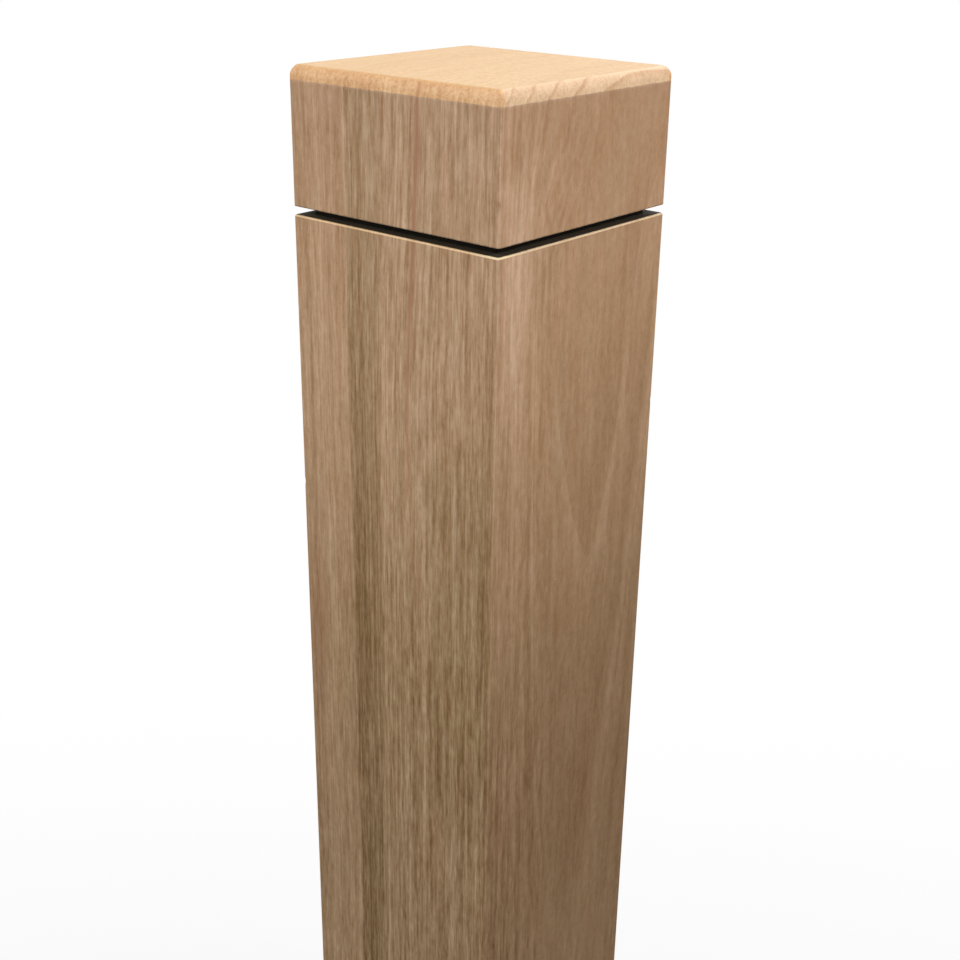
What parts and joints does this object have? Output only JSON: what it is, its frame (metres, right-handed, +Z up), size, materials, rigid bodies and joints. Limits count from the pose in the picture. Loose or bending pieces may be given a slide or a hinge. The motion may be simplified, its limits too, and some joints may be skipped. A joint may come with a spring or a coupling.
{
  "type": "square newel post",
  "caption": "Square timber newel post with a rounded-over flat head set off by a narrow sunk black groove above a plain planed shaft.",
  "frame": {"origin": "centre of the sawn foot, on the floor", "axes": "+Z up the post to the head; the four faces look along +X, -X, +Y and -Y"},
  "size_m": [0.09, 0.09, 1.1],
  "materials": {
    "timber": "planed and satin oiled, straight grain"
  },
  "bodies": {
    "root": {"newel_post": "timber"}
  },
  "joints": []
}
